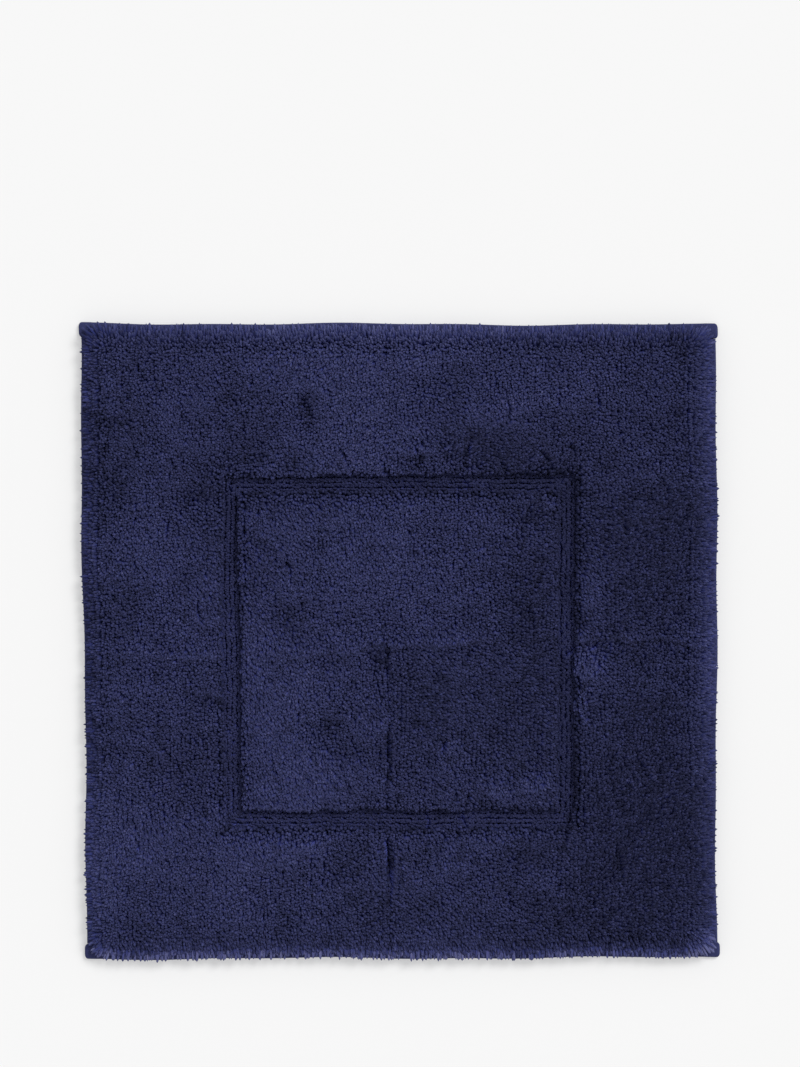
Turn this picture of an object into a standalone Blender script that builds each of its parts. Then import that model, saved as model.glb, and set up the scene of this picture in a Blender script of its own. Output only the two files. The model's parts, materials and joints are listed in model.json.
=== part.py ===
"""A tufted cotton bath mat, as a designer's model of its separate pieces.

Metres, +Z up. The origin is the middle of the underside, +X is the mat's right and +Y its
far edge. The mat is built in layers, from the floor up: an anti-slip coat, a canvas backing
cloth, and cut pile in three zones: a border, a square groove of low tufts, and a centre
panel. Folded tape binds each edge, held by a lockstitch seam.
"""

import math

import bmesh
import bpy
from mathutils import Matrix, Vector

MM = 0.001

# The mat over its bindings, without the corner ends.
MAT_WIDTH = 600 * MM
MAT_DEPTH = 600 * MM

# Layers.
COAT_THICKNESS = 1.4 * MM
CLOTH_THICKNESS = 1.0 * MM
PILE_HEIGHT = 16 * MM
GROOVE_PILE_HEIGHT = 8.5 * MM

# The sculpted groove: its outer square, its width, and how far its middle is from the mat's.
GROOVE_OUTER = 336 * MM
GROOVE_WIDTH = 19 * MM
GROOVE_SHIFT = (-1.5 * MM, -9 * MM)

# The bound edge. The tape is folded double, so each of its walls is two layers.
TAPE_LAYER = 0.7 * MM
BINDING_WIDTH = 14 * MM
BINDING_END = 2.5 * MM
TAPE_FOLD_RADIUS = 0.9 * MM

# The pile stands over the bindings, up to this far from the edge. It covers only this much of
# the square where two bindings cross, and leaves the rest of the corner bare.
PILE_SETBACK = 1.5 * MM
CORNER_COVER = 1.8 * MM
OUTER_ROUND = 7 * MM
GROOVE_ROUND = 3 * MM

# The seam: its thread, and its place and depth in the tape.
THREAD_DIAMETER = 0.5 * MM
SEAM_FROM_TAPE_EDGE = 2.5 * MM
SEAM_SINK = 0.15 * MM

# The care label, lying in a shallow pocket of the coat.
LABEL_WIDTH = 30 * MM
LABEL_LENGTH = 42 * MM
LABEL_THICKNESS = 0.4 * MM
LABEL_SINK = 0.1 * MM
LABEL_FROM_CORNER = 95 * MM

CLEARANCE = 0.3 * MM  # between pieces that touch
PAST = 5 * MM  # how far a cutter runs past what it cuts
ROUND_SEGMENTS = 4

# Worked out from the sizes above.
HALF_WIDTH = MAT_WIDTH / 2
HALF_DEPTH = MAT_DEPTH / 2
TAPE_WALL = 2 * TAPE_LAYER
CLOTH_LOW = max(TAPE_WALL, COAT_THICKNESS) + CLEARANCE
CLOTH_HIGH = CLOTH_LOW + CLOTH_THICKNESS
PILE_LOW = CLOTH_HIGH + CLEARANCE
BINDING_HIGH = PILE_LOW + TAPE_WALL
FIELD_HALF_WIDTH = HALF_WIDTH - BINDING_WIDTH - CLEARANCE
FIELD_HALF_DEPTH = HALF_DEPTH - BINDING_WIDTH - CLEARANCE
BARE_CORNER = BINDING_WIDTH + CLEARANCE - CORNER_COVER

for old in list(bpy.data.objects):
    bpy.data.objects.remove(old)


def new_collection(name):
    made = bpy.data.collections.new(name)
    bpy.context.scene.collection.children.link(made)
    return made


MAT = new_collection("bath_mat")
CUTTERS = new_collection("cutters")


def finish_of(name, colour, roughness):
    """A plain material in one colour."""
    made = bpy.data.materials.new(name)
    made.use_nodes = True
    shader = made.node_tree.nodes["Principled BSDF"]
    shader.inputs["Base Color"].default_value = (*colour, 1)
    shader.inputs["Roughness"].default_value = roughness
    shader.inputs["Metallic"].default_value = 0
    made.diffuse_color = (*colour, 1)
    return made


def place_in(collection, solid, name):
    """Names a solid and moves it to a collection."""
    for holder in list(solid.users_collection):
        holder.objects.unlink(solid)
    collection.objects.link(solid)
    solid.name = solid.data.name = name
    return solid


def box(name, low, high, collection=MAT):
    """A block between two corners, with its scale applied."""
    low, high = Vector(low), Vector(high)
    bpy.ops.mesh.primitive_cube_add(size=1, location=(low + high) / 2)
    block = bpy.context.object
    block.data.transform(Matrix.Diagonal((*(high - low), 1)))
    return place_in(collection, block, name)


def prism(name, outline, low, high):
    """An upright solid on a flat outline, between two heights."""
    curve = bpy.data.curves.new(name, "CURVE")
    curve.dimensions = "2D"
    curve.fill_mode = "BOTH"
    curve.extrude = (high - low) / 2
    edge = curve.splines.new("POLY")
    edge.points.add(len(outline) - 1)
    for point, (x, y) in zip(edge.points, outline):
        point.co = (x, y, 0, 1)
    edge.use_cyclic_u = True
    drawn = bpy.data.objects.new(name, curve)
    drawn.location.z = (low + high) / 2
    MAT.objects.link(drawn)
    now = bpy.context.evaluated_depsgraph_get()
    mesh = bpy.data.meshes.new_from_object(drawn.evaluated_get(now))
    shape = bmesh.new()
    shape.from_mesh(mesh)
    bmesh.ops.remove_doubles(shape, verts=shape.verts, dist=0.01 * MM)
    bmesh.ops.dissolve_limit(
        shape, angle_limit=math.radians(1), verts=shape.verts, edges=shape.edges
    )
    shape.to_mesh(mesh)
    shape.free()
    solid = bpy.data.objects.new(name, mesh)
    solid.matrix_world = drawn.matrix_world
    bpy.data.objects.remove(drawn)
    return place_in(MAT, solid, name)


def inset(outline, distance):
    """An outline, given anticlockwise, with every side moved inwards by a distance."""
    points = [Vector(p) for p in outline]
    moved = []
    for before, here, after in zip(points[-1:] + points, points, points[1:] + points[:1]):
        arriving = (here - before).normalized()
        leaving = (after - here).normalized()
        inwards = Vector((-arriving.y, arriving.x)) + Vector((-leaving.y, leaving.x))
        moved.append(here + inwards * distance / (1 + arriving.dot(leaving)))
    return [tuple(p) for p in moved]


def round_edges(solid, radius, chosen):
    """Rounds the edges whose two ends, as world points, are chosen."""
    shape = bmesh.new()
    shape.from_mesh(solid.data)
    weight = shape.edges.layers.float.new("bevel_weight_edge")
    bpy.context.view_layer.update()
    for edge in shape.edges:
        start, end = (solid.matrix_world @ v.co for v in edge.verts)
        edge[weight] = float(chosen(start, end))
    shape.to_mesh(solid.data)
    shape.free()
    rounding = solid.modifiers.new("round", "BEVEL")
    rounding.limit_method = "WEIGHT"
    rounding.width = radius
    rounding.segments = ROUND_SEGMENTS
    solid.data.shade_smooth()
    solid.data.set_sharp_from_angle(angle=math.radians(40))


def new_cutter(name, low, high):
    """A box that other solids are cut with."""
    cutter = box(name, low, high, CUTTERS)
    cutter.hide_render = True
    cutter.display_type = "WIRE"
    return cutter


def cut(solid, cutter):
    slot = solid.modifiers.new(cutter.name, "BOOLEAN")
    slot.operation = "DIFFERENCE"
    slot.solver = "EXACT"
    slot.object = cutter


def turned(low, high, quarter_turns):
    """A box's two corners, once the box has been turned about +Z by quarter turns."""
    turn = Matrix.Rotation(quarter_turns * math.pi / 2, 3, "Z")
    ends = [turn @ Vector(low), turn @ Vector(high)]
    return [[pick(a) for a in zip(*ends)] for pick in (min, max)]


YARN = finish_of("pile_yarn", (0.040, 0.044, 0.125), 0.9)
CANVAS = finish_of("backing_canvas", (0.045, 0.050, 0.120), 0.9)
LATEX = finish_of("anti_slip_latex", (0.62, 0.60, 0.54), 0.6)
TAPE = finish_of("binding_tape", (0.050, 0.056, 0.150), 0.85)
THREAD = finish_of("sewing_thread", (0.045, 0.050, 0.140), 0.6)
SATIN = finish_of("label_satin", (0.80, 0.80, 0.78), 0.45)


# The four sides, each with the quarter turns that bring the near side to it, the half length
# along it, and the half size of the mat across it.
SIDES = {
    "near": (0, HALF_WIDTH, HALF_DEPTH),
    "right": (1, HALF_DEPTH, HALF_WIDTH),
    "far": (2, HALF_WIDTH, HALF_DEPTH),
    "left": (3, HALF_DEPTH, HALF_WIDTH),
}


def rectangle(half_width, half_depth, middle=(0, 0)):
    """A rectangle's corners, anticlockwise from the near left one."""
    x, y = middle
    return [
        (x - half_width, y - half_depth),
        (x + half_width, y - half_depth),
        (x + half_width, y + half_depth),
        (x - half_width, y + half_depth),
    ]


def backing():
    """The canvas that holds the tufts, and the coat under it with the label's pocket."""
    hidden = TAPE_WALL + CLEARANCE
    edge = (HALF_WIDTH - hidden, HALF_DEPTH - hidden)
    cloth = box("backing_cloth", (-edge[0], -edge[1], CLOTH_LOW), (*edge, CLOTH_HIGH))
    cloth.data.materials.append(CANVAS)

    coat_low = CLOTH_LOW - CLEARANCE - COAT_THICKNESS
    coat = box(
        "anti_slip_coat",
        (-FIELD_HALF_WIDTH, -FIELD_HALF_DEPTH, coat_low),
        (FIELD_HALF_WIDTH, FIELD_HALF_DEPTH, CLOTH_LOW - CLEARANCE),
    )
    coat.data.materials.append(LATEX)

    left = FIELD_HALF_WIDTH - LABEL_FROM_CORNER
    label_low = coat_low + LABEL_SINK
    label = box(
        "care_label",
        (left, -FIELD_HALF_DEPTH, label_low),
        (left + LABEL_WIDTH, -FIELD_HALF_DEPTH + LABEL_LENGTH, label_low + LABEL_THICKNESS),
    )
    label.data.materials.append(SATIN)
    pocket = new_cutter(
        "label_pocket",
        (left - CLEARANCE, -FIELD_HALF_DEPTH - PAST, coat_low - PAST),
        (
            left + LABEL_WIDTH + CLEARANCE,
            -FIELD_HALF_DEPTH + LABEL_LENGTH + CLEARANCE,
            label_low + LABEL_THICKNESS + CLEARANCE,
        ),
    )
    cut(coat, pocket)


def binding(side):
    """One side's tape, folded round the edge. The near and far ones close the corners."""
    turns, half_length, half_across = SIDES[side]
    closes = side in ("near", "far")
    if closes:
        end = half_length + BINDING_END
        hollow_end = end - TAPE_WALL
    else:
        end = half_length - BINDING_WIDTH - CLEARANCE
        hollow_end = end + PAST
    outer, inner = -half_across, -half_across + BINDING_WIDTH
    low, high = turned((-end, outer, 0), (end, inner, BINDING_HIGH), turns)
    tape = box(f"binding_{side}", low, high)
    tape.data.materials.append(TAPE)

    across = 1 if closes else 0

    def is_fold(start, stop):
        """A level edge along the mat's own edge, where the tape is folded."""
        at_edge = all(abs(p[across]) > half_across - CLEARANCE for p in (start, stop))
        return at_edge and abs(start.z - stop.z) < CLEARANCE

    round_edges(tape, TAPE_FOLD_RADIUS, is_fold)
    hollow = turned(
        (-hollow_end, outer + TAPE_WALL, TAPE_WALL), (hollow_end, inner + PAST, PILE_LOW), turns
    )
    cut(tape, new_cutter(f"fold_{side}", *hollow))
    seam(side, tape, end, inner - SEAM_FROM_TAPE_EDGE)


def seam(side, tape, end, line):
    """The needle thread above and the bobbin thread below, each drawn into the tape."""
    turns = SIDES[side][0]
    radius = THREAD_DIAMETER / 2
    reach = radius + CLEARANCE
    inwards = SEAM_SINK + radius
    threads = {
        "needle_thread": (BINDING_HIGH - inwards, BINDING_HIGH + PAST),
        "bobbin_thread": (inwards, -PAST),
    }
    for name, (height, outside) in threads.items():
        deepest = height - math.copysign(reach, outside)
        channel = turned(
            (-end - PAST, line - reach, min(deepest, outside)),
            (end + PAST, line + reach, max(deepest, outside)),
            turns,
        )
        cut(tape, new_cutter(f"{name}_channel_{side}", *channel))

        curve = bpy.data.curves.new(f"{name}_{side}", "CURVE")
        curve.dimensions = "3D"
        curve.bevel_depth = radius
        curve.bevel_resolution = 2
        curve.use_fill_caps = True
        run = curve.splines.new("POLY")
        run.points.add(1)
        run.points[0].co = (-end + TAPE_WALL, line, height, 1)
        run.points[1].co = (end - TAPE_WALL, line, height, 1)
        thread = bpy.data.objects.new(f"{name}_{side}", curve)
        thread.rotation_euler.z = turns * math.pi / 2
        curve.materials.append(THREAD)
        MAT.objects.link(thread)


def groove_squares():
    """The groove's outer and inner squares."""
    outer = GROOVE_OUTER / 2
    inner = outer - GROOVE_WIDTH
    return rectangle(outer, outer, GROOVE_SHIFT), rectangle(inner, inner, GROOVE_SHIFT)


def pile(name, outline, height):
    """A block of pile on an outline, clear of its neighbours."""
    block = prism(name, inset(outline, CLEARANCE / 2), PILE_LOW, PILE_LOW + height)
    block.data.materials.append(YARN)
    return block


def border_pile(side):
    """One side of the border, standing over its binding, between mitres to its neighbours."""
    turns, half_length, half_across = SIDES[side]
    outer_square, _ = groove_squares()
    field = rectangle(FIELD_HALF_WIDTH, FIELD_HALF_DEPTH)
    bare = rectangle(HALF_WIDTH - BARE_CORNER, HALF_DEPTH - BARE_CORNER)
    outwards = Matrix.Rotation(turns * math.pi / 2, 2) @ Vector((0, PILE_SETBACK - BARE_CORNER))
    start, stop = turns, (turns + 1) % 4
    outline = [
        tuple(Vector(bare[start]) + outwards),
        tuple(Vector(bare[stop]) + outwards),
        bare[stop],
        field[stop],
        outer_square[stop],
        outer_square[start],
        field[start],
        bare[start],
    ]
    block = pile(f"border_pile_{side}", outline, PILE_HEIGHT)
    across = 1 - turns % 2

    def is_shoulder(one_end, other_end):
        """The top edge along the mat's own edge."""
        return all(
            abs(p[across]) > half_across - BARE_CORNER / 2 and p.z > PILE_LOW + PILE_HEIGHT / 2
            for p in (one_end, other_end)
        )

    round_edges(block, OUTER_ROUND, is_shoulder)
    over_tape = turned(
        (-half_length, -half_across - PAST, PILE_LOW - PAST),
        (half_length, -half_across + BINDING_WIDTH + CLEARANCE, BINDING_HIGH + CLEARANCE),
        turns,
    )
    cut(block, new_cutter(f"over_tape_{side}", *over_tape))


def groove_pile(side):
    """One side of the groove's low tufts, mitred into its neighbours."""
    start = SIDES[side][0]
    stop = (start + 1) % 4
    outer, inner = groove_squares()
    outline = [outer[start], outer[stop], inner[stop], inner[start]]
    pile(f"groove_pile_{side}", outline, GROOVE_PILE_HEIGHT)


def centre_pile():
    """The panel inside the groove."""
    _, inner = groove_squares()
    panel = pile("centre_pile", inner, PILE_HEIGHT)

    def is_rim(start, stop):
        """An edge round the panel's top."""
        return min(start.z, stop.z) > PILE_LOW + PILE_HEIGHT / 2

    round_edges(panel, GROOVE_ROUND, is_rim)


backing()
for each_side in SIDES:
    binding(each_side)
    border_pile(each_side)
    groove_pile(each_side)
centre_pile()
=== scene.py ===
# A square bath mat: cotton yarn tufted through canvas, with a sunk line of low tufts round its
# middle, a sprayed underside and folded tape sewn round its edges. The file follows the mat as
# it is made: cloth, tufts, coat, binding, seams and label, then the floor that it lies on.
import json
import math

import bpy
import numpy as np
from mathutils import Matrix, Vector

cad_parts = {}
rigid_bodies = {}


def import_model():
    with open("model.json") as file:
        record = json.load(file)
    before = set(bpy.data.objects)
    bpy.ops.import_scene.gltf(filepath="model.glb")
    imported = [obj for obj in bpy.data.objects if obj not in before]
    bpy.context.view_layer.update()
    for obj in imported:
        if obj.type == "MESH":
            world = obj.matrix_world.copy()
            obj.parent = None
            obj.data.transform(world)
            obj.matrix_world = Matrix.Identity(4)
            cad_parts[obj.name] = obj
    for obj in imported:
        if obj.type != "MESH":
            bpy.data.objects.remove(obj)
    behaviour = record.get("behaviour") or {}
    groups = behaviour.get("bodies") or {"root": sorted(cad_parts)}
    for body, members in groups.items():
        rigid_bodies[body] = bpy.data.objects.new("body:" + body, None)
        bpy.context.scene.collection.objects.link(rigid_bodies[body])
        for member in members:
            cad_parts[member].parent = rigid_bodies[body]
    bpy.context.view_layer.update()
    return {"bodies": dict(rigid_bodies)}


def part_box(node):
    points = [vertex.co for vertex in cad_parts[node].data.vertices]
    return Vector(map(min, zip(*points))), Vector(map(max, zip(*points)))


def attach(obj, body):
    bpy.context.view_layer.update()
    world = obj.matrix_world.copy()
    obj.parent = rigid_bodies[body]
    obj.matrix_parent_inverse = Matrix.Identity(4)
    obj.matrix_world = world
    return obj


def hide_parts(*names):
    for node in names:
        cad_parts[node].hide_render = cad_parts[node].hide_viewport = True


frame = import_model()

MM = 0.001
BODY = sorted(frame["bodies"])[0]

# ---------------------------------------------------------------------------------------------
# Backing cloth. The ground of the mat is a plain-woven cotton canvas, dyed with the yarn. It
# is cut square, tufted, coated underneath and bound at its four edges, so it is seen only
# deep between the tufts.
CANVAS_YARN = 1.1 * MM
CANVAS_STEP = 7 * MM
CANVAS_RIPPLE = 0.12 * MM
CANVAS_COLOUR = (0.030, 0.034, 0.095)


def lie(points):
    """Points of a flat, square mat, moved to how the soft mat really lies: a little out of
    square, with slightly wavy sides."""
    x, y = points[:, 0], points[:, 1]
    moved = points.copy()
    side, end = x / 0.3, y / 0.3
    moved[:, 0] += -0.0052 * y + 0.0009 * side * np.sin(19 * y + 0.7 + side)
    moved[:, 0] += 0.0005 * side * np.sin(47 * y + 2.1 * side)
    left, right, near = (1 - side) / 2, (1 + side) / 2, np.clip(-end, 0, 1)
    moved[:, 0] += left * (0.0009 - 0.0075 * y)
    moved[:, 0] += right * (0.0024 * np.exp(-(((y - 0.15) / 0.09) ** 2)) - 0.0012 * near)
    moved[:, 1] -= 0.0016 * left * near
    moved[:, 1] += -0.0022 * x * np.clip(end, 0, 1) + 0.0008 * end * np.sin(21 * x + 1.3 + end)
    moved[:, 1] += 0.0005 * end * np.sin(53 * x - 1.7 * end)
    return moved


def link(name, mesh):
    """A new object for a mesh, at the origin."""
    piece = bpy.data.objects.new(name, mesh)
    bpy.context.scene.collection.objects.link(piece)
    return piece


def mesh_piece(name, points, faces, material, smooth=True):
    """A piece of the mat from its flat points and its faces, laid as the mat lies."""
    mesh = bpy.data.meshes.new(name)
    mesh.from_pydata(lie(np.asarray(points, float)).tolist(), [], faces)
    mesh.materials.append(material)
    mesh.shade_smooth() if smooth else mesh.shade_flat()
    return link(name, mesh)


def slab(name, xs, ys, low, high, material):
    """A thin sheet between two height fields given on a grid of xs by ys. The upper one may be
    one number, for a flat top."""
    flat_top = np.isscalar(high)
    high = np.full_like(low, high)
    nx, ny = len(xs), len(ys)
    gx, gy = (grid.ravel() for grid in np.meshgrid(xs, ys, indexing="ij"))
    points = np.concatenate(
        [np.stack([gx, gy, low.ravel()], 1), np.stack([gx, gy, high.ravel()], 1)]
    )
    at = np.arange(nx * ny).reshape(nx, ny)
    under = np.stack([at[:-1, :-1], at[:-1, 1:], at[1:, 1:], at[1:, :-1]], -1).reshape(-1, 4)
    over = under[:, ::-1] + nx * ny
    rim = np.concatenate([at[:, 0], at[-1, 1:], at[-2::-1, -1], at[0, -2:0:-1]])
    after = np.roll(rim, -1)
    wall = np.stack([rim, after, after + nx * ny, rim + nx * ny], -1)
    if flat_top:  # only the rim of the upper grid is used
        used = np.concatenate([np.arange(nx * ny), rim + nx * ny])
        place = np.zeros(2 * nx * ny, int)
        place[used] = np.arange(len(used))
        faces = place[np.concatenate([under, wall])].tolist() + [place[rim + nx * ny].tolist()]
        return mesh_piece(name, points[used], faces, material, False)
    return mesh_piece(name, points, np.concatenate([under, over, wall]).tolist(), material)


class Wire:
    """The output of a node. Arithmetic on wires adds the Math nodes that work it out."""

    def __init__(self, tree, socket):
        self.tree, self.socket = tree, socket

    def maths(self, operation, *terms):
        settings = {"operation": operation}
        return add(self.tree, "ShaderNodeMath", settings, dict(enumerate(terms)))

    def __add__(self, other):
        return self.maths("ADD", self, other)

    def __radd__(self, other):
        return self.maths("ADD", other, self)

    def __sub__(self, other):
        return self.maths("SUBTRACT", self, other)

    def __rsub__(self, other):
        return self.maths("SUBTRACT", other, self)

    def __mul__(self, other):
        return self.maths("MULTIPLY", self, other)

    def __rmul__(self, other):
        return self.maths("MULTIPLY", other, self)

    def __truediv__(self, other):
        return self.maths("DIVIDE", self, other)

    def __pow__(self, other):
        return self.maths("POWER", self, other)

    def sin(self):
        return self.maths("SINE", self)

    def cos(self):
        return self.maths("COSINE", self)

    def size(self):
        return self.maths("ABSOLUTE", self)

    def beside(self, name):
        """Another output of the same node."""
        return Wire(self.tree, self.socket.node.outputs[name])


def add(tree, kind, settings=None, sockets=None, out=0):
    """Adds a node, gives it its settings, then the values or links of its sockets, and
    returns one of its outputs."""
    node = tree.nodes.new(kind)
    for name, value in (settings or {}).items():
        setattr(node, name, value)
    for name, value in (sockets or {}).items():
        if isinstance(value, Wire):
            tree.links.new(value.socket, node.inputs[name])
        else:
            node.inputs[name].default_value = value
    return Wire(tree, node.outputs[out])


def parts_of(vector):
    """The three numbers of a vector wire."""
    first = add(vector.tree, "ShaderNodeSeparateXYZ", {}, {0: vector})
    return first, first.beside(1), first.beside(2)


def blend_of(tree, share, first, second):
    """A colour between two colours."""
    sockets = {
        0: share,
        6: first if isinstance(first, Wire) else (*first, 1),
        7: second if isinstance(second, Wire) else (*second, 1),
    }
    return add(tree, "ShaderNodeMix", {"data_type": "RGBA"}, sockets, 2)


def shades(tree, share, colour, dark, pale):
    """A colour between a dark and a pale shade of one colour."""
    return blend_of(tree, share, [dark * c for c in colour], [pale * c for c in colour])


def new_finish(name, constants):
    """A material with one shader, given the values that are the same all over it."""
    material = bpy.data.materials.new(name)
    material.use_nodes = True
    shader = material.node_tree.nodes["Principled BSDF"]
    for socket, value in constants.items():
        shader.inputs[socket].default_value = value
    return material, material.node_tree


def vary(tree, colour, roughness, height, depth):
    """Links what changes over a surface to its shader: colour, roughness and relief."""
    shader = tree.nodes["Principled BSDF"]
    relief = add(tree, "ShaderNodeBump", {}, {"Height": height, "Distance": depth})
    for wire, socket in ((colour, "Base Color"), (roughness, "Roughness"), (relief, "Normal")):
        tree.links.new(wire.socket, shader.inputs[socket])


def woven(tree, pitch, twill=False):
    """Threads over and under one another, in a plain weave or a twill."""
    x, y, _ = parts_of(add(tree, "ShaderNodeTexCoord", out="Object"))
    warp, weft = x * (math.pi / pitch), y * (math.pi / pitch)
    if twill:
        return (warp + weft).sin().size() * 0.8 + (warp - weft).sin().size() * 0.2
    over = warp.sin() * weft.sin() * 0.5 + 0.5
    return over * warp.cos().size() + (1 - over) * weft.cos().size()


CLOTH = {"Roughness": 0.92, "Specular IOR Level": 0.12}
canvas_finish, tree = new_finish("dyed_canvas", CLOTH)
weave = woven(tree, CANVAS_YARN)
slub = add(tree, "ShaderNodeTexNoise", {}, {"Scale": 260, "Detail": 3})
shade = weave * 0.6 + slub * 0.4
vary(
    tree,
    shades(tree, shade, CANVAS_COLOUR, 0.55, 1.35),
    0.98 - weave * 0.1,
    weave + slub * 0.4,
    0.3 * MM,
)

cloth_low, cloth_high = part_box("backing_cloth")
cloth_size = cloth_high - cloth_low
canvas_xs = np.linspace(cloth_low.x, cloth_high.x, round(cloth_size.x / CANVAS_STEP))
canvas_ys = np.linspace(cloth_low.y, cloth_high.y, round(cloth_size.y / CANVAS_STEP))
ripple = CANVAS_RIPPLE * np.outer(np.sin(canvas_xs / (13 * MM)), np.cos(canvas_ys / (17 * MM)))
under, over = cloth_low.z + ripple, cloth_high.z + ripple
canvas = slab("canvas_ground", canvas_xs, canvas_ys, under, over, canvas_finish)
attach(canvas, BODY)
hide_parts("backing_cloth")
CLOTH_TOP = cloth_high.z

# ---------------------------------------------------------------------------------------------
# Tufts. Soft cotton yarn is sewn through the canvas in rows and cut, so each stitch leaves two ends
# standing. They lean, curl and gather in clumps, lie over the binding at the edges, part along the
# lines where the mat was folded, and lean the way they were brushed, which shows light or dark.
# Their tone is also painted: lighter or darker with that lean, a painted highlight along the edges,
# painted shade in the folds and cracks and beside the sunk line, and painted bounce light low
# between them.
ROW_GAUGE = 3.8 * MM
PLY_OFFSET = 0.84 * MM  # each stitch's two ends stand this far to the sides of its row
STITCH = 1.92 * MM
TUFT_RISE = 14.1 * MM
TUFT_LEAN = 4.2 * MM
CLUMP_PITCH = 6.0 * MM
RIM_ROWS = [inset * MM for inset in (0, 2.4, 4.8, 7.1, 9.3, 11.5)]
RIM_STITCH = 1.75 * MM
FAN_ZONE = {"near": 15 * MM, "right": 15 * MM, "far": 13 * MM, "left": 12.5 * MM}
FAN_REACH = 16.6 * MM
LOOSE_ZONE = 10 * MM
BARE_FROM = [296 * MM, 293.5 * MM]  # the corner pads that the tufts leave bare start here
HIDDEN_PAD = 3.5 * MM
LOW_RISE = 7.0 * MM
LOW_STITCH = 1.75 * MM
LOW_ROWS = 4
LOW_PLY_OFFSET = 0.6 * MM
SIDES = {"near": (0, -1), "right": (1, 0), "far": (0, 1), "left": (-1, 0)}

# Where a hand has stroked the pile: across, along, the two radii in mm, and how light (+) or dark
# (-) it shows. This turns the pile's lean and also paints its tone lighter or darker, as painted
# light and shade.
STROKES = (
    # broad areas
    (-35, 225, 70, 55, 0.75), (110, 236, 45, 30, 0.65), (-190, 235, 85, 50, 0.05),
    (-50, 285, 90, 20, 0.45), (-290, -235, 22, 60, 0.6), (0, 40, 45, 30, 0.45),
    (80, 190, 40, 30, -0.7), (-10, 284, 120, 18, 1.0), (-275, 0, 30, 60, -0.3),
    (-130, -285, 90, 16, -0.2), (240, 130, 60, 40, -0.3), (235, -170, 50, 50, -0.3),
    (-290, -200, 18, 40, 0.9), (282, -10, 20, 60, 0.35), (0, 262, 110, 20, 0.3),
    (130, -40, 30, 60, -0.2), (60, -130, 50, 50, -0.2), (205, 20, 26, 60, -0.3),
    (-130, 210, 50, 50, -0.25), (0, 118, 16, 14, 0.5), (-120, 170, 50, 20, -0.3),
    (120, 60, 16, 60, -0.25), (-280, -90, 22, 30, -0.25),
    (-200, 60, 30, 50, -0.3), (235, -225, 60, 60, -0.25), (-20, -245, 40, 30, -0.35),
    (200, 110, 40, 30, -0.25), (-120, 60, 30, 60, -0.2), (-240, 180, 60, 40, -0.2),
    (-275, 150, 26, 60, -0.25), (200, 255, 50, 28, 0.35),
    (10, 85, 90, 60, 0.35), (-262, -195, 30, 60, 0.35), (-150, -205, 70, 50, 0.30),
    (205, 240, 70, 45, 0.12), (240, 90, 60, 75, -0.45), (240, -180, 75, 90, -0.75),
    (-255, 60, 60, 110, 0.28),
    (150, -265, 110, 30, -0.35), (100, -65, 60, 60, -0.35), (130, 60, 22, 75, -0.45),
    (-190, -120, 50, 38, -0.30), (-175, 120, 35, 30, -0.45), (30, -60, 34, 40, -0.45),
    (-110, -60, 38, 60, 0.40), (-95, -125, 50, 25, 0.40), (50, -112, 28, 32, 0.35),
    (234, 166, 45, 30, 0.35), (-250, -262, 55, 20, -0.25), (-60, -262, 120, 22, -0.10),
    # small marks
    (-83, 220, 9, 22, -0.8), (-45, 192, 22, 16, 0.5), (17, 173, 10, 9, -0.9),
    (14, 186, 12, 6, 0.7), (54, 247, 16, 16, -0.5), (44, 192, 26, 14, -0.5),
    (115, 168, 36, 14, -0.5), (-276, 212, 26, 12, -0.5), (-267, 147, 14, 22, -0.4),
    (-262, 34, 18, 22, -0.4), (-187, 139, 24, 8, -0.5), (-224, 92, 26, 22, 0.3),
    (-182, -56, 17, 6, -0.7), (-154, -193, 20, 14, 0.5), (-54, -207, 20, 18, -0.5),
    (-83, -182, 20, 14, 0.4), (92, -185, 20, 12, 0.5), (116, -203, 15, 12, -0.7),
    (139, -226, 12, 12, 0.5), (210, -212, 7, 22, -0.9), (248, -152, 22, 14, -0.5),
    (257, 122, 12, 26, -0.5), (201, 100, 10, 20, -0.5), (182, 55, 12, 22, 0.5),
    (177, -20, 13, 13, 1.6), (171, -58, 5, 12, 0.9), (177, -66, 8, 5, -0.6),
    (229, -72, 26, 16, -0.4), (-120, 118, 26, 14, 0.25), (-130, 94, 7, 6, -0.7),
    (-27, 94, 8, 7, -0.6), (120, 122, 14, 12, -0.6), (143, 130, 6, 5, 0.6),
    (-106, 24, 20, 18, -0.6), (-133, 8, 16, 14, 0.5), (-2, 25, 14, 14, -0.5),
    (64, 29, 14, 10, -0.4), (-17, -20, 8, 9, -0.8), (-64, -18, 14, 7, -0.6),
    (-120, -24, 12, 7, -0.5), (12, -52, 26, 24, -0.5), (-69, -79, 15, 9, -0.7),
    (-50, -96, 16, 12, -0.5), (128, -132, 13, 9, 1.0), (93, -137, 13, 9, 0.9),
    (72, -150, 14, 6, -0.5), (285, -284, 16, 14, 0.9), (-12, -103, 8, 20, -0.5),
    (-168, -20, 8, 40, 0.3), (-26, 176, 14, 10, 0.6), (232, 104, 10, 6, -0.6),
)

# The longest cracks in the pile: across, along, slant in radians, half length in mm.
LONG_CRACKS = (
    (-89, 223, 0.45, 12), (-50, 178, 0.3, 12), (96, 164, 0.5, 8), (-245, 259, 0.45, 9),
    (18, 178, 0.1, 12), (-66, 240, 0.7, 8), (205, -212, 0.05, 14), (62, 178, -0.1, 10),
    (-106, 74, 0.3, 9), (40, -98, 0.2, 10), (150, 96, 0.2, 9), (-190, 30, 0.3, 9),
)


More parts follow.
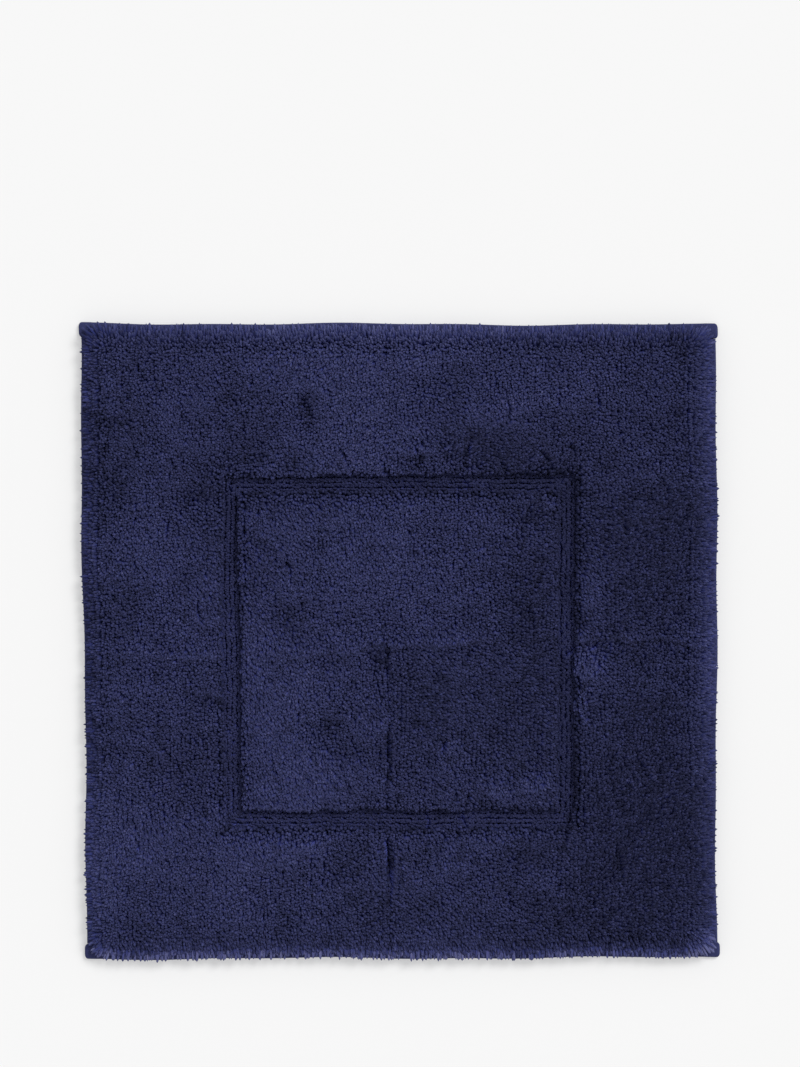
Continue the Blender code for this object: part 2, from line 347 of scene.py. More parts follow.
def drift(x, y, size, seed):
    """Smooth, random hills and hollows from -1 to 1, about size apart."""
    heights = np.random.default_rng(seed).uniform(-1, 1, (97, 97))
    u, v = x / size + 48.3, y / size + 48.3
    i, j = np.floor(u).astype(int) % 96, np.floor(v).astype(int) % 96
    s, t = u - np.floor(u), v - np.floor(v)
    s, t = s * s * (3 - 2 * s), t * t * (3 - 2 * t)
    near = heights[i, j] * (1 - s) + heights[i + 1, j] * s
    return near * (1 - t) + (heights[i, j + 1] * (1 - s) + heights[i + 1, j + 1] * s) * t


def hump(distance, width):
    """1 at no distance, falling smoothly to 0 past about twice the width."""
    return np.exp(-((distance / width) ** 2))


def course(at, places, values):
    """A value that changes evenly from one place, in mm, to the next."""
    return np.interp(at, np.array(places) * MM, values)


def brushed(x, y):
    """How light or dark the pile shows at a place, about -1 to 1. It turns the tufts' lean, and it
    is also painted into their tone as painted light and shade.
    """
    light = 0.04 - 0.18 * np.tanh((x - 0.07) / 0.12)
    for across, along, wide, long, strength in STROKES:
        light += strength * np.exp(
            -(((x - across * MM) / (wide * MM)) ** 2) - ((y - along * MM) / (long * MM)) ** 2
        )
    light += 0.10 * drift(x, y, 0.034, 3) + 0.18 * drift(x, y, 0.014, 4)
    return np.tanh(1.2 * light)


# The tall pile ends half a gap short of the low pile's solids, and the binding's inner edge
# leaves room for the last row.
centre_low, centre_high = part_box("centre_pile")
low_box = {side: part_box(f"groove_pile_{side}") for side in SIDES}
half_gap = (centre_low.x - low_box["left"][1].x) / 2
groove_low = np.array([low_box["left"][0].x, low_box["near"][0].y]) - half_gap
groove_high = np.array([low_box["right"][1].x, low_box["far"][1].y]) + half_gap
panel_low = np.array(centre_low[:2]) - half_gap
panel_high = np.array(centre_high[:2]) + half_gap
SEWN_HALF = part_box("binding_right")[0].x - 0.9 * MM


def beyond(x, y, low, high):
    """How far a place is outside a square, or inside it where negative."""
    return np.max([low[0] - x, x - high[0], low[1] - y, y - high[1]], axis=0)


def sown_roots():
    """Where the tall yarn ends leave the canvas, row by row."""
    chance = np.random.default_rng(11)
    columns = []
    last_row = math.ceil(SEWN_HALF / ROW_GAUGE)
    for row in range(-last_row, last_row + 1):
        for ply in (-1, 1):
            x = row * ROW_GAUGE + ply * PLY_OFFSET
            if abs(x) < SEWN_HALF:
                start = (0.25 * ply + 0.31 * (row % 3)) * STITCH
                y = np.arange(-SEWN_HALF + start % STITCH, SEWN_HALF, STITCH)
                x = x - 0.16 * MM * ply * (1 + drift(y * 0 + x, y, 0.045, 17))
                columns.append(np.stack([x, y, np.full_like(y, row)], 1))
    for inset in RIM_ROWS:  # the sewing is denser along each edge, where the tufts fan out
        rim = np.arange(-SEWN_HALF + inset, SEWN_HALF - inset, RIM_STITCH)
        out = np.full_like(rim, SEWN_HALF - inset)
        for across, along in ((out, rim), (-out, rim), (rim, out), (rim, -out)):
            columns.append(np.stack([across, along, np.full_like(rim, 99)], 1))
    roots = np.concatenate(columns)
    roots[:, :2] += chance.normal(0, 0.28 * MM, (len(roots), 2))
    x, y = roots[:, 0], roots[:, 1]
    low_band = (beyond(x, y, groove_low, groove_high) < 0.4 * MM) & (
        beyond(x, y, panel_low, panel_high) > -0.4 * MM
    )
    return roots[~low_band]


def clump_pull(x, y, pitch, seed):
    """The way from each place to the middle of the clump that it belongs to."""
    chance = np.random.default_rng(seed)
    jitter = chance.uniform(-0.42, 0.42, (256, 256, 2))
    i, j = np.round(x / pitch).astype(int), np.round(y / pitch).astype(int)
    best = np.full(len(x), 9.9)
    pull = np.zeros((len(x), 2))
    for di in (-1, 0, 1):
        for dj in (-1, 0, 1):
            shift = jitter[(i + di) % 256, (j + dj) % 256]
            to_x = (i + di + shift[:, 0]) * pitch - x
            to_y = (j + dj + shift[:, 1]) * pitch - y
            away = np.hypot(to_x, to_y)
            closer = away < best
            best[closer] = away[closer]
            pull[closer] = np.stack([to_x, to_y], 1)[closer]
    return pull


def part_at_folds(x, y, light, lean, rise):
    """Changes the pile along the two fold lines: its lean and height, and a painted light on one
    side of the cross fold with painted shade on the other. Returns how far it is open there, which
    darkens the tone as painted shade. One line runs across the middle, the other from the middle to
    the near edge."""
    fold_y = course(
        x,
        [-310, -150, -20, 60, 160, 200, 222, 260, 310],
        np.array([-12, -13, -3, 2, 2, 4, 2, -2, -8]) * MM,
    )
    off = y - fold_y - 3.2 * MM * drift(x, y * 0, 0.014, 31)
    off += 1.2 * MM * drift(x, y, 0.005, 35)
    strength = (0.75 + 0.5 * drift(x, y, 0.02, 32)) * course(
        x,
        [-310, -240, -160, -145, -60, 60, 95, 158, 185, 300],
        [0.1, 0.4, 0.5, 0.2, 0.7, 1.0, 0.3, 0.4, 1.1, 1.2],
    )
    light += 0.55 * strength * np.tanh(off / (3 * MM)) * hump(off - 1 * MM, 9 * MM)
    lean[:, 1] -= strength * 6 * MM * np.tanh(off / (4 * MM)) * hump(off, 12 * MM)
    opening = 0.75 * strength * hump(off + 1 * MM, 2 * MM)
    lean[:, 0] -= strength * 2 * MM * hump(off - 3 * MM, 7 * MM)
    depth_along = course(
        y, [-300, -275, -190, -130, -40, 5, 12], [0.2, 0.7, 0.8, 1, 0.55, 0.5, 0]
    )
    for fold_x, depth in ((-21.5, 0.25), (-12.5, 1.15), (-4, 0.35)):
        wander = 2.2 * drift(y, x * 0 + fold_x, 0.016, 33) + 0.8 * drift(x, y, 0.004, 36)
        off = x - (fold_x + wander) * MM
        strength = depth * np.clip(0.7 + 0.9 * drift(x, y, 0.017, 34), 0, 1.3) * depth_along
        lean[:, 0] += strength * 4.4 * MM * np.tanh(off / (1.2 * MM)) * hump(off, 4.5 * MM)
        rise *= 1 - 0.16 * strength * hump(off, 2.2 * MM)
        opening += 0.9 * strength * hump(off, 1.7 * MM)
    return opening


def open_cracks(x, y, lean, opening, chance):
    """Opens the pile here and there in short cracks, mostly along its rows, and adds to how far it
    is open there, which darkens the tone as painted shade.
    """
    cracks = [(a * MM, b * MM, slant, long * MM, 1.25) for a, b, slant, long in LONG_CRACKS]
    for _ in range(110):
        middle, angle = chance.uniform(-0.28, 0.28, 2), chance.normal(0.15, 0.35)
        cracks.append((*middle, angle, chance.uniform(5, 12) * MM, chance.uniform(0.5, 1.0)))
    for mid_x, mid_y, angle, long, depth in cracks:
        off = (x - mid_x) * math.cos(angle) + (y - mid_y) * math.sin(angle)
        far = (y - mid_y) * math.cos(angle) - (x - mid_x) * math.sin(angle)
        opened = depth * hump(off, 3.5 * MM) * hump(far, long)
        lean[:, 0] += 2.4 * MM * np.tanh(off / MM) * math.cos(angle) * opened
        lean[:, 1] += 2.4 * MM * np.tanh(off / MM) * math.sin(angle) * opened
        opening += 0.6 * depth * hump(off, 1.3 * MM) * hump(far, long)


def line_sides(roots, lean):
    """Stands the pile straighter beside the sunk line, except where it has fallen over the line.
    Returns how far it is in shade there, and how far its sides are bared. The covers are how
    far the pile falls over the line, in mm, at places along it."""
    x, y = roots[:, 0], roots[:, 1]
    over_far = course(
        x,
        [-130, -120, -101, -92, -84, -76, -42, -30, -8, 0, 40, 48, 60, 68],
        [8.0, 4.0, 1.0, 5.5, 5.0, 1.0, 1.0, 5.0, 4.5, 1.0, 1.0, 3.5, 3.0, 0.8],
    )
    over_left = course(y, [-150, -70, -50, 50, 65, 150], [4.4, 3.6, 1.2, 1.2, 5.6, 7.6])
    over_near = course(
        x,
        [-118, -104, -82, -70, 28, 36, 50, 60, 124, 138],
        [1.0, 4.4, 4.4, 0.9, 0.9, 4.2, 4.2, 0.8, 0.8, 5.5],
    )
    over_right = course(
        y,
        [-160, -150, -70, -60, -50, -38, -28, -12, -4],
        [5.5, 1.2, 1.2, 4.2, 1.2, 1.2, 5.0, 5.0, 1.0],
    )
    shaded, bared = np.zeros(len(x)), np.zeros(len(x))
    for axis, bank, sign, cover in (
        (0, groove_low, -1, over_left), (0, panel_low, 1, 0.8 * over_left),
        (0, groove_high, 1, over_right), (0, panel_high, -1, 2.0),
        (1, groove_low, -1, over_near), (1, panel_low, 1, 1.6),
        (1, groove_high, 1, over_far), (1, panel_high, -1, 1.6),
    ):
        off = (roots[:, axis] - bank[axis]) * sign
        other = roots[:, 1 - axis]
        beside = (other > groove_low[1 - axis] - 4 * MM) & (other < groove_high[1 - axis] + 4 * MM)
        limit = (cover + 1.3 * drift(x, y, 0.013, 9) + 0.8 * drift(x, y, 0.005, 10)) * MM
        limit += 0.75 * np.clip(off, 0, None)
        on_bank = beside & (off > -1 * MM)
        toward = -lean[:, axis] * sign
        least = np.maximum(1.3, 0.7 * cover) * MM - 0.8 * np.clip(off, 0, None)
        fall = np.clip(np.maximum(toward, np.minimum(least, limit)), None, limit)
        lean[:, axis] -= sign * np.where(on_bank & (off < 9 * MM), fall - toward, 0)
        in_view = np.clip(1.25 - np.asarray(cover) / 5, 0.1, 1)
        shaded += np.where(on_bank, in_view * hump(off, 2.2 * MM), 0)
        bared += np.where(on_bank, hump(off, 4 * MM), 0)
    return shaded, bared


def tall_ends(roots):
    """How each tall yarn end lies: the way from its root to its tip, its length, its tone, and
    how far its neighbours hide its root."""
    chance = np.random.default_rng(12)
    x, y = roots[:, 0], roots[:, 1]
    count = len(x)
    light = brushed(x, y)

    # The lean that shows light is to the left and near; the one that shows dark is opposite.
    sideways = 0.55 + 0.9 * drift(x, y, 0.055, 5) + 0.5 * drift(x, y, 0.018, 6)
    lean = np.stack([-0.7 * light + sideways * 0.5, -1.3 * light - sideways * 0.8], 1) * TUFT_LEAN
    rise = TUFT_RISE * (1 + 0.02 * drift(x, y, 0.045, 7) + 0.02 * drift(x, y, 0.009, 8))
    opening = part_at_folds(x, y, light, lean, rise)
    open_cracks(x, y, lean, opening, chance)
    shaded, bared = line_sides(roots, lean)

    # At the mat's edges the tufts fan out and over the binding.
    from_side, from_end = SEWN_HALF - np.abs(x), SEWN_HALF - np.abs(y)
    fan_x = np.clip(1 - from_side / np.where(x > 0, FAN_ZONE["right"], FAN_ZONE["left"]), 0, 1)
    fan_y = np.clip(1 - from_end / np.where(y > 0, FAN_ZONE["far"], FAN_ZONE["near"]), 0, 1)
    fan = np.clip(np.hypot(fan_x, fan_y), 0, 1)
    outward = np.stack([np.sign(x) * fan_x, np.sign(y) * fan_y], 1)
    outward /= np.maximum(np.hypot(*outward.T), 1e-6)[:, None]
    hold = fan[:, None]
    spread = 1 - 0.5 * chance.uniform(0, 1, count) ** 2.2
    reach_out = spread * FAN_REACH * fan**1.5
    reach_out *= 1 + 0.42 * fan_x * fan_y * ((x < 0) & (y > 0))  # over the far left pad
    lean = lean * (1 - 0.85 * hold) + outward * reach_out[:, None]
    # Ends from one stitch stay together, neighbours gather in clumps, and each has its own way.
    tips = roots[:, :2] + lean
    gather = np.clip(0.07 + 0.13 * drift(x, y, 0.05, 16), 0.0, 0.22)[:, None]
    lean += (1 - 0.6 * hold) * gather * clump_pull(*tips.T, CLUMP_PITCH, 13)
    lean += chance.normal(0, 1, (count, 2)) * [0.38 * MM, 0.62 * MM] * (1 - 0.1 * hold)

    # The pads of the binding at the corners stay bare, the far left one less than the others.
    tips = roots[:, :2] + lean
    hidden = HIDDEN_PAD * ((x < 0) & (y > 0))
    over = np.clip(np.min(np.abs(tips) - BARE_FROM, axis=1) - hidden, 0, None)
    shorter = np.clip(1 - 1.47 * over / np.maximum(np.hypot(*lean.T), 1e-6), 0.15, 1)
    lean *= shorter[:, None]
    run = np.hypot(*lean.T)
    length = np.hypot(rise * (1 - 0.31 * fan**2), 0.85 * run) * (1 + 0.08 * fan**2)
    length *= np.clip(0.4 + 0.6 * shorter, 0.62, 1)
    length *= 1 + chance.normal(0, 0.022 + 0.02 * fan, count)
    # The tone is the yarn's own random variation plus painted light and shade: lighter or darker
    # with the brushed lean, a painted highlight along the right, far and most the near edge and near
    # right corner, a little painted shade along the left, and painted shade beside the sunk line and
    # in the folds and cracks.
    tone = 0.5 + 0.39 * light + 0.20 * chance.normal(0, 1, count) + 0.08 * drift(x, y, 0.006, 15)
    rim = fan_x**2 * np.where(x > 0, 0.30, -0.10) + fan_y**6 * np.where(y > 0, 0.40, 1.05)
    rim += 0.5 * np.sqrt(fan_x * fan_y) * ((x > 0) & (y < 0))
    tone += rim - 0.08 * fan_y - 0.34 * np.clip(shaded, 0, 1) - 0.42 * np.clip(opening, 0, 1)
    # Where buried is high, the roots take the painted bounce light of the root colour. It is less
    # where the edges fan out, where sides are bared beside the sunk line and where the pile opens.
    buried = np.clip(1 - 1.4 * fan - 1.3 * bared - 1.2 * opening, 0, 1)
    return lean, length, tone, buried


def low_ends():
    """The short tufts of the sunk line, in rows that run along each side of it: their roots,
    and how they lie in the same order as for the tall ones."""
    chance = np.random.default_rng(21)
    rows = []
    width = panel_low[0] - groove_low[0]
    for side, (across, along) in SIDES.items():
        for row, ply in ((row, ply) for row in range(LOW_ROWS) for ply in (-1, 1)):
            inset = width * (row + 0.5) / LOW_ROWS + ply * LOW_PLY_OFFSET
            low, high = groove_low + inset, groove_high - inset
            axis = 0 if along else 1
            start = low[axis] + (ply > 0) * LOW_STITCH / 2
            run = np.arange(start, high[axis] - LOW_STITCH / 2, LOW_STITCH)
            fixed = np.full_like(run, (high if across + along > 0 else low)[1 - axis])
            x, y = (run, fixed) if along else (fixed, run)
            number = np.full_like(run, list(SIDES).index(side))
            rows.append(np.stack([x, y, number, np.full_like(run, axis)], 1))
    rows = np.concatenate(rows)
    rows[:, :2] += chance.normal(0, 0.16 * MM, (len(rows), 2))
    x, y, axis = rows[:, 0], rows[:, 1], rows[:, 3].astype(int)
    rows[:, 0] += 0.5 * MM * drift(x, y, 0.016, 26)
    rows[:, 1] += 0.5 * MM * drift(x, y, 0.016, 27)
    light = brushed(x, y)
    lean = chance.normal(0, 0.3 * MM, (len(rows), 2))
    along_row = np.stack([1 - axis, axis], 1)
    lean += along_row * ((1.6 + 1.2 * drift(x, y, 0.03, 22)) * -np.sign(light))[:, None] * MM
    lean += 0.8 * MM * np.stack([drift(x, y, 0.02, 23), drift(x, y, 0.02, 24)], 1)
    length = LOW_RISE * (1.02 + 0.05 * drift(x, y, 0.012, 25) + chance.normal(0, 0.03, len(rows)))
    # The tone is painted darker than the tall pile's, as painted shade in the sunk line, darker
    # still along much of its far run, and lighter or darker with the brushed lean; the rest varies
    # at random. The roots take the painted bounce light at 0.6.
    tone = 0.43 + 0.17 * light + 0.09 * chance.normal(0, 1, len(rows))
    tone += 0.10 * drift(x, y, 0.02, 28) - 0.09 * (y > 0.13) * (x > -0.1)
    return rows, lean, length, tone, np.full(len(rows), 0.6)


def new_growth(name, inputs):
    """A Geometry Nodes tree that starts with a geometry and these named inputs."""
    growth = bpy.data.node_groups.new(name, "GeometryNodeTree")
    growth.interface.new_socket("Geometry", in_out="INPUT", socket_type="NodeSocketGeometry")
    growth.interface.new_socket("Geometry", in_out="OUTPUT", socket_type="NodeSocketGeometry")
    for label, (kind, value) in inputs.items():
        kind = "NodeSocket" + kind
        socket = growth.interface.new_socket(label, in_out="INPUT", socket_type=kind)
        if value is not None:
            socket.default_value = value
    source = add(growth, "NodeGroupInput")
    return growth, {label: source.beside(label) for label in ("Geometry", *inputs)}


def close_growth(growth, geometry, material):
    """Ends a tree: instances made real, smooth, and in their material."""
    real = add(growth, "GeometryNodeRealizeInstances", {}, {"Geometry": geometry})
    real = add(growth, "GeometryNodeSetShadeSmooth", {}, {"Geometry": real})
    real = add(growth, "GeometryNodeSetMaterial", {}, {"Geometry": real, "Material": material})
    sink = growth.nodes.new("NodeGroupOutput")
    growth.links.new(real.socket, sink.inputs[0])


def grown(name, growth, seed_mesh, values):
    """The plain mesh piece that a tree makes on a seed mesh."""
    seed = link(name + "_seed", seed_mesh)
    maker = seed.modifiers.new(growth.name, "NODES")
    maker.node_group = growth
    for item in growth.interface.items_tree:
        if item.in_out == "INPUT" and item.name in values:
            maker[item.identifier] = values[item.name]
    graph = bpy.context.evaluated_depsgraph_get()
    mesh = bpy.data.meshes.new_from_object(
        seed.evaluated_get(graph), preserve_all_data_layers=True, depsgraph=graph
    )
    seed.modifiers.remove(maker)
    bpy.data.objects.remove(seed)
    mesh.name = name
    return link(name, mesh)


def read(growth, name, kind="FLOAT_VECTOR"):
    """The value of a named attribute."""
    return add(growth, "GeometryNodeInputNamedAttribute", {"data_type": kind}, {"Name": name})


def keep(growth, geometry, name, value, kind="FLOAT", domain="POINT"):
    """Stores a value under a name on a geometry."""
    return add(
        growth,
        "GeometryNodeStoreNamedAttribute",
        {"data_type": kind, "domain": domain},
        {"Geometry": geometry, "Name": name, "Value": value},
    )


def vector_of(growth, x, y, z):
    """A vector wire from three numbers."""
    return add(growth, "ShaderNodeCombineXYZ", {}, {0: x, 1: y, 2: z})


# One yarn end is a soft brush of cotton: thickest where it is crowded at the canvas, then
# tapering to its belly and on to its domed cut end, and bent in an arc the way it lies.
growth, given = new_growth(
    "yarn_ends",
    {
        "Sides": ("Int", 4),
        "Segments": ("Int", 1),
        "Root radius": ("Float", 3.6 * MM),
        "Belly radius": ("Float", 1.42 * MM),
        "Tip radius": ("Float", 1.22 * MM),
        "Tip dome": ("Float", 1.7 * MM),
        "Finish": ("Material", None),
    },
)
sockets = {"Vertices": given["Sides"], "Side Segments": given["Segments"], "Radius": 1, "Depth": 1}
blank = add(growth, "GeometryNodeMeshCylinder", {"fill_type": "TRIANGLE_FAN"}, sockets, "Mesh")
place = add(growth, "GeometryNodeInputPosition")
shape = keep(growth, blank, "round", place, "FLOAT_VECTOR")
shape = keep(growth, shape, "wrap", blank.beside("UV Map"), "FLOAT2", "CORNER")
sockets = {"Points": given["Geometry"], "Instance": shape}
planted = add(growth, "GeometryNodeInstanceOnPoints", {}, sockets)
planted = add(growth, "GeometryNodeRealizeInstances", {}, {"Geometry": planted})
across, beside, along = parts_of(read(growth, "round"))
heading_x, heading_y, sway = parts_of(read(growth, "heading"))
start, turn, twist = parts_of(read(growth, "bend"))
length, girth, _ = parts_of(read(growth, "build"))
step = along + 0.5
step = step * (1.48 - step * 0.48)
middle = 1 - (across * across + beside * beside)
swell = step.maths("MINIMUM", step * 1.613, 1.0)
shrink = step.maths("MAXIMUM", step * 2.632 - 1.632, 0.0)
profile = given["Root radius"] * (1 - swell) + given["Belly radius"] * (swell - shrink)
profile = (profile + given["Tip radius"] * shrink) * girth
angle = twist + step * 1.4
flat = (across * angle.cos() - beside * angle.sin()) * profile
wide = (across * angle.sin() + beside * angle.cos()) * profile
tilt = start + turn * step
dome = middle * step * given["Tip dome"]
forth = length * (start.cos() - tilt.cos()) / turn + flat * tilt.cos() + dome * tilt.sin()
rise = length * (tilt.sin() - start.sin()) / turn - flat * tilt.sin() + dome * tilt.cos()
aside = wide + sway * step * step
offset = vector_of(
    growth, heading_x * forth - heading_y * aside, heading_y * forth + heading_x * aside, rise
)
sockets = {0: read(growth, "root"), 1: offset}
place = add(growth, "ShaderNodeVectorMath", {"operation": "ADD"}, sockets)
planted = add(growth, "GeometryNodeSetPosition", {}, {"Geometry": planted, "Position": place})
planted = keep(growth, planted, "reach", step)
cell_u, cell_v, cell_size = parts_of(read(growth, "cell"))
wrap_u, wrap_v, _ = parts_of(read(growth, "wrap"))
spot = vector_of(growth, cell_u + wrap_u * cell_size, cell_v + wrap_v * cell_size, 0.0)
planted = keep(growth, planted, "OFBake", spot, "FLOAT2", "CORNER")
for spent in ("round", "wrap", "heading", "bend", "build", "cell", "root"):
    planted = add(growth, "GeometryNodeRemoveAttribute", {}, {"Geometry": planted, "Name": spent})
close_growth(growth, planted, given["Finish"])
yarn_ends = growth

# The yarn: deep blue cotton, greyer at the cut ends. The brightest tufts, mostly those with the
# painted highlight of the edges, are painted a greyer highlight colour. Low between the tufts the
# yarn is painted a brighter, stronger blue: painted light standing in for the light that comes
# through the yarn there. The tone scales the dye and carries each tuft's painted light and shade.
ROOT_BOUNCE_LIGHT_COLOUR = (0.135, 0.165, 0.640)
YARN_COLOUR = (0.030, 0.038, 0.156)
END_COLOUR = (0.047, 0.054, 0.147)
FRINGE_HIGHLIGHT_COLOUR = (0.064, 0.069, 0.142)
COTTON = {
    "Roughness": 0.95,
    "Specular IOR Level": 0.05,
    "Sheen Weight": 0.08,
    "Sheen Roughness": 0.5,
    "Sheen Tint": (0.45, 0.5, 1.0, 1),
}
yarn_finish, tree = new_finish("cotton_yarn", COTTON)
reach = add(tree, "ShaderNodeAttribute", {"attribute_name": "reach"}, out="Fac")
tone = add(tree, "ShaderNodeAttribute", {"attribute_name": "tone"}, out="Fac")
fuzz = add(tree, "ShaderNodeTexNoise", {}, {"Scale": 1000, "Detail": 2})
batch = add(tree, "ShaderNodeTexNoise", {}, {"Scale": 30, "Detail": 2})
buried = add(tree, "ShaderNodeAttribute", {"attribute_name": "buried"}, out="Fac")
# Painted bounce light: low on their sides, where buried is high, the tufts take the bright root
# colour.
side = blend_of(tree, (1 - reach**2) * buried, YARN_COLOUR, ROOT_BOUNCE_LIGHT_COLOUR)
side = blend_of(tree, reach**6, side, END_COLOUR)
# Painted highlight: tufts whose tone passes 0.85 turn towards the greyer highlight colour.
side = blend_of(tree, tone - 0.85, side, FRINGE_HIGHLIGHT_COLOUR)
dye = 0.27 + tone * 1.01 + (fuzz - 0.5) * 1.5 + (batch - 0.5) * 0.2
dyed = add(tree, "ShaderNodeVectorMath", {"operation": "SCALE"}, {0: side, "Scale": dye})
tint = add(tree, "ShaderNodeTexNoise", {}, {"Scale": 130, "Detail": 3})
tint = blend_of(tree, tint * 3 - 1, (0.80, 1.05, 1.03), (1.25, 0.95, 0.97))
dyed = add(tree, "ShaderNodeVectorMath", {"operation": "MULTIPLY"}, {0: dyed, 1: tint})
vary(tree, dyed, 1 - fuzz * 0.2, fuzz, 0.35 * MM)

# What the tree is given in place of its own values, in the sunk line and over the binding.
LOW = {"Root radius": 2.7 * MM, "Tip radius": 1.3 * MM}
LOOSE = {"Segments": 2, "Root radius": 3.0 * MM, "Belly radius": 1.45 * MM}


def plant(name, node, seed, ends, chosen, build):
    """Grows one piece of pile from the chosen ends: all its yarn ends in one mesh, each with
    its own cell of the bake map."""
    roots, lean, length, tone, buried = (values[chosen] for values in ends)
    chance = np.random.default_rng(seed)
    count = len(roots)
    seed_mesh = bpy.data.meshes.new(name + "_roots")
    foot = lie(np.stack([roots[:, 0], roots[:, 1], np.full(count, CLOTH_TOP - 0.2 * MM)], 1))
    seed_mesh.from_pydata(foot.tolist(), [], [])
    run = np.maximum(np.hypot(*lean.T), 0.05 * MM)
    bend = np.clip(run / (0.74 * length), 0.03, 1.42)
    cells = math.ceil(math.sqrt(count))
    row, column = np.divmod(np.arange(count), cells)
    sway = chance.normal(0, 0.9 * MM, count)
    twist = chance.uniform(0, 2 * math.pi, count)
    girth = 1 + chance.normal(0, 0.09, count)
    values = {
        "root": foot.T,
        "heading": (lean[:, 0] / run, lean[:, 1] / run, sway),
        "bend": (np.radians(14) * bend, np.radians(62) * bend, twist),
        "build": (length, girth, np.zeros(count)),
        "cell": ((column + 0.1) / cells, (row + 0.1) / cells, np.full(count, 0.8 / cells)),
    }
    for label, value in values.items():
        layer = seed_mesh.attributes.new(label, "FLOAT_VECTOR", "POINT")
        layer.data.foreach_set("vector", np.stack(value, 1).astype(np.float32).ravel())
    for label, value in (("tone", np.clip(tone, 0, 1.8)), ("buried", buried)):
        layer = seed_mesh.attributes.new(label, "FLOAT", "POINT")
        layer.data.foreach_set("value", value.astype(np.float32))
    piece = grown(name, yarn_ends, seed_mesh, {"Finish": yarn_finish, **build})
    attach(piece, BODY)
    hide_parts(node)


roots = sown_roots()
tall = (roots, *tall_ends(roots))
x, y = roots[:, 0], roots[:, 1]
in_panel = beyond(x, y, panel_low, panel_high) < 0
thirds = np.searchsorted(np.linspace(panel_low[0], panel_high[0], 4)[1:3], x)
for third, label in enumerate(("left", "middle", "right")):
    chosen = in_panel & (thirds == third)
    plant(f"panel_tufts_{label}", "centre_pile", 30 + third, tall, chosen, {})

# The border's four sides meet on the lines from the mat's corners to the sunk line's.
half = SEWN_HALF + 1 * MM
shares = []
for axis, at in enumerate((x, y)):
    low, high = groove_low[axis], groove_high[axis]
    shares.append(np.where(at < 0, (low - at) / (low + half), (at - high) / (half - high)))
upright = shares[1] > shares[0]
for number, (side, (across_way, along_way)) in enumerate(SIDES.items()):
    if along_way:
        on_side, halves = upright & (np.sign(y) == along_way), x > 0
    else:
        on_side, halves = ~upright & (np.sign(x) == across_way), y > 0
    at_edge = np.maximum(np.abs(x), np.abs(y)) > SEWN_HALF - LOOSE_ZONE
    for part, zone in enumerate((halves & ~at_edge, ~halves & ~at_edge, at_edge)):
        chosen = ~in_panel & on_side & zone
        name = f"edge_tufts_{side}" if part == 2 else f"border_tufts_{side}_{part + 1}"
        build = LOOSE if part == 2 else {}
        plant(name, f"border_pile_{side}", 40 + 3 * number + part, tall, chosen, build)

low = low_ends()
for number, side in enumerate(SIDES):
    chosen = low[0][:, 2] == number
    plant(f"sunk_line_tufts_{side}", f"groove_pile_{side}", 60 + number, low, chosen, LOW)

# ---------------------------------------------------------------------------------------------
# Anti-slip coat. Latex is spread on the underside over the backs of the stitches, which show
# through it as rows of small ridges. It keeps the tufts in and grips the floor.
LATEX_COLOUR = (0.40, 0.38, 0.33)
RIDGE_DEPTH = 0.75 * MM
latex_finish, tree = new_finish("anti_slip_latex", {"Specular IOR Level": 0.35})
grain = add(tree, "ShaderNodeTexNoise", {}, {"Scale": 900, "Detail": 3})
patch = add(tree, "ShaderNodeTexNoise", {}, {"Scale": 25, "Detail": 3})
x_at, y_at, _ = parts_of(add(tree, "ShaderNodeTexCoord", out="Object"))
row_at = x_at / ROW_GAUGE
crest = (row_at * (2 * math.pi)).cos() * 0.5 + 0.5
parity = row_at.maths("ROUND", row_at)
stitch_back = (y_at * (math.pi / STITCH) + parity * (0.74 * math.pi)).cos() * 0.5 + 0.5
knuckle = crest * stitch_back
shade = grain * 0.2 + patch * 0.3 + knuckle * 0.35 + crest * 0.15
vary(
    tree,
    shades(tree, shade, LATEX_COLOUR, 0.50, 1.35),
    0.55 + grain * 0.3,
    knuckle + grain * 0.2,
    0.5 * MM,
)
coat_low, coat_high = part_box("anti_slip_coat")
label_low, label_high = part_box("care_label")
coat_xs = np.arange(-75, 75.1, 0.25) * ROW_GAUGE
coat_xs = np.concatenate([[coat_low.x], coat_xs[1:-1], [coat_high.x]])
coat_ys = np.linspace(coat_low.y, coat_high.y, 67)
gx, gy = np.meshgrid(coat_xs, coat_ys, indexing="ij")
ridge = (np.cos(2 * math.pi * gx / ROW_GAUGE) * 0.5 + 0.5) ** 0.8
under = coat_low.z + RIDGE_DEPTH * (1 - ridge) * (0.8 + 0.2 * drift(gx, gy, 0.02, 81))
room = 1.5 * MM
pocket = (gx > label_low.x - room) & (gx < label_high.x + room) & (gy < label_high.y + room)
under = np.where(pocket, coat_low.z + RIDGE_DEPTH, under)
coat = slab("latex_coat", coat_xs, coat_ys, under, coat_high.z, latex_finish)
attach(coat, BODY)
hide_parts("anti_slip_coat")

# ---------------------------------------------------------------------------------------------
# Binding. Cotton twill tape, its own edges turned in, is folded over each side of the mat.
# The near and far lengths are put on last: they run past the others, and their ends are
# tucked in, which leaves a small bare pad of tape at each corner.
TAPE_COLOUR = (0.036, 0.041, 0.120)
TAPE_THICK = 0.62 * MM
TAPE_STEP = 2.4 * MM
SEAM_PITCH = 3.0 * MM
TURNED_IN = 9 * MM
PAD_LENGTH = 14.5 * MM
PAD_CORNER = 3.2 * MM
PAD_ROUND = 2.3 * MM
PAD_FILLED = 4.4 * MM
tape_finish, tree = new_finish("twill_tape", CLOTH)
twill = woven(tree, 1.0 * MM, True)
slub = add(tree, "ShaderNodeTexNoise", {}, {"Scale": 420, "Detail": 3})
shade = twill * 0.6 + slub * 0.4
vary(
    tree,
    shades(tree, shade, TAPE_COLOUR, 0.62, 1.4),
    0.96 - twill * 0.12,
    twill + slub * 0.5,
    0.25 * MM,
)
